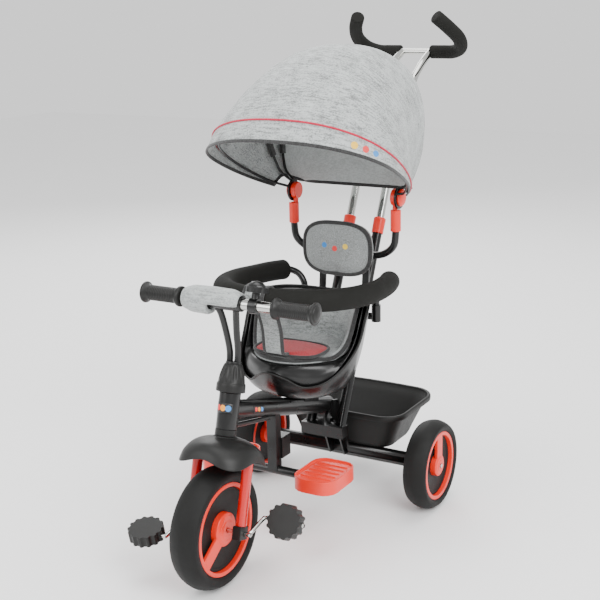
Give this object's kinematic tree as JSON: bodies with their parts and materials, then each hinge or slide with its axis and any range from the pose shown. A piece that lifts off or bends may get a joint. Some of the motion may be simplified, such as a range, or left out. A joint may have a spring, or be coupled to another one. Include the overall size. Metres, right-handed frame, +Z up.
{
  "type": "children's push tricycle",
  "caption": "Children's tricycle with foam tyres, front pedals, bucket seat with safety bar, tilting canopy, rear basket and telescoping push handle.",
  "frame": {"origin": "on the floor, under the middle of the whole tricycle", "axes": "+Z up, the tricycle faces -Y, the child's left hand is at +X"},
  "size_m": [0.4966, 1.0668, 1.0764],
  "materials": {
    "black_steel": "gloss",
    "chrome": "polished",
    "zinc": "satin",
    "red_steel": "gloss",
    "red_plastic": "satin",
    "black_plastic": "satin",
    "gloss_plastic": "gloss",
    "tyre_foam": "matte",
    "grip_foam": "matte",
    "grey_fabric": "matte",
    "crimson_fabric": "matte"
  },
  "bodies": {
    "frame": {"head_tube": "black_steel", "head_bush_lower": "black_plastic", "head_bush_upper": "black_plastic", "main_beam": "black_steel", "lower_stay": "black_steel", "footrest_bracket": "black_steel", "rear_axle_frame": "black_steel", "rear_axle_shaft": "zinc", "handle_lower": "black_steel", "handle_collar_left": "red_plastic", "handle_collar_right": "red_plastic", "seat_tub": "gloss_plastic", "seat_pan": "gloss_plastic", "seat_liner": "grey_fabric", "seat_pad": "crimson_fabric", "back_frame": "black_steel", "basket": "black_plastic", "canopy_sleeve_left": "red_plastic", "canopy_sleeve_right": "red_plastic"},
    "steering": {"fork": "red_steel", "fork_end_left": "black_plastic", "fork_end_right": "black_plastic", "fork_cover": "black_plastic", "stem": "black_steel", "stem_boot": "black_plastic", "handlebar": "chrome", "grip_left": "black_plastic", "grip_right": "black_plastic", "bar_sleeve": "grey_fabric", "bell_base": "black_plastic"},
    "bell": {"bell_dial": "black_plastic"},
    "front_wheel": {"front_tyre": "tyre_foam", "front_rim": "red_plastic", "front_disc": "black_plastic", "crank": "chrome"},
    "pedal_left": {"pedal_left": "black_plastic"},
    "pedal_right": {"pedal_right": "black_plastic"},
    "rear_wheel_left": {"rear_left_tyre": "tyre_foam", "rear_left_rim": "red_plastic", "rear_left_disc": "black_plastic"},
    "rear_wheel_right": {"rear_right_tyre": "tyre_foam", "rear_right_rim": "red_plastic", "rear_right_disc": "black_plastic"},
    "push_handle": {"push_bar": "chrome", "push_grip_left": "grip_foam", "push_grip_right": "grip_foam"},
    "safety_bar": {"safety_bar_tube": "black_steel", "safety_bar_foam": "grip_foam", "crotch_strap": "grey_fabric"},
    "headrest": {"headrest_pad": "grey_fabric"},
    "footrest_left": {"footrest_left": "red_plastic"},
    "footrest_right": {"footrest_right": "red_plastic"},
    "canopy": {"canopy_hub_left": "red_plastic", "canopy_hub_right": "red_plastic", "canopy_frame": "black_steel", "canopy_fabric": "grey_fabric"}
  },
  "joints": [
    {"name": "steering", "type": "hinge", "parent": "frame", "child": "steering", "pos_m": [0, -0.41025, 0.1225], "axis": [0, 0.2656, 0.9641], "range_deg": [-40, 40]},
    {"name": "front_wheel_spin", "type": "hinge", "parent": "steering", "child": "front_wheel", "pos_m": [0, -0.41025, 0.1225], "axis": [1, 0, 0], "continuous": true},
    {"name": "pedal_left_spin", "type": "hinge", "parent": "front_wheel", "child": "pedal_left", "pos_m": [0.132, -0.36377, 0.14223], "axis": [1, 0, 0], "continuous": true},
    {"name": "pedal_right_spin", "type": "hinge", "parent": "front_wheel", "child": "pedal_right", "pos_m": [-0.132, -0.45674, 0.10277], "axis": [1, 0, 0], "continuous": true},
    {"name": "rear_left_spin", "type": "hinge", "parent": "frame", "child": "rear_wheel_left", "pos_m": [0.2208, 0.11875, 0.0995], "axis": [1, 0, 0], "continuous": true},
    {"name": "rear_right_spin", "type": "hinge", "parent": "frame", "child": "rear_wheel_right", "pos_m": [-0.2208, 0.11875, 0.0995], "axis": [1, 0, 0], "continuous": true},
    {"name": "bell_turn", "type": "hinge", "parent": "steering", "child": "bell", "pos_m": [0.061, -0.33183, 0.58042], "axis": [0, 0.2656, 0.9641], "range_deg": [-50, 50]},
    {"name": "handle_height", "type": "slide", "parent": "frame", "child": "push_handle", "axis": [0, 0.4231, 0.9061], "range_m": [-0.12, 0]},
    {"name": "canopy_tilt", "type": "hinge", "parent": "frame", "child": "canopy", "pos_m": [0, 0.14275, 0.69], "axis": [1, 0, 0], "range_deg": [-25, 15]},
    {"name": "safety_bar_lift", "type": "slide", "parent": "frame", "child": "safety_bar", "axis": [0, 0, 1], "range_m": [0, 0.04]},
    {"name": "headrest_height", "type": "slide", "parent": "frame", "child": "headrest", "axis": [0, 0, 1], "range_m": [-0.005, 0.03]},
    {"name": "footrest_left_fold", "type": "hinge", "parent": "frame", "child": "footrest_left", "pos_m": [0, -0.18425, 0.158], "axis": [1, 0, 0], "range_deg": [0, 90]},
    {"name": "footrest_right_fold", "type": "hinge", "parent": "frame", "child": "footrest_right", "pos_m": [0, -0.18425, 0.158], "axis": [1, 0, 0], "range_deg": [0, 90]}
  ]
}
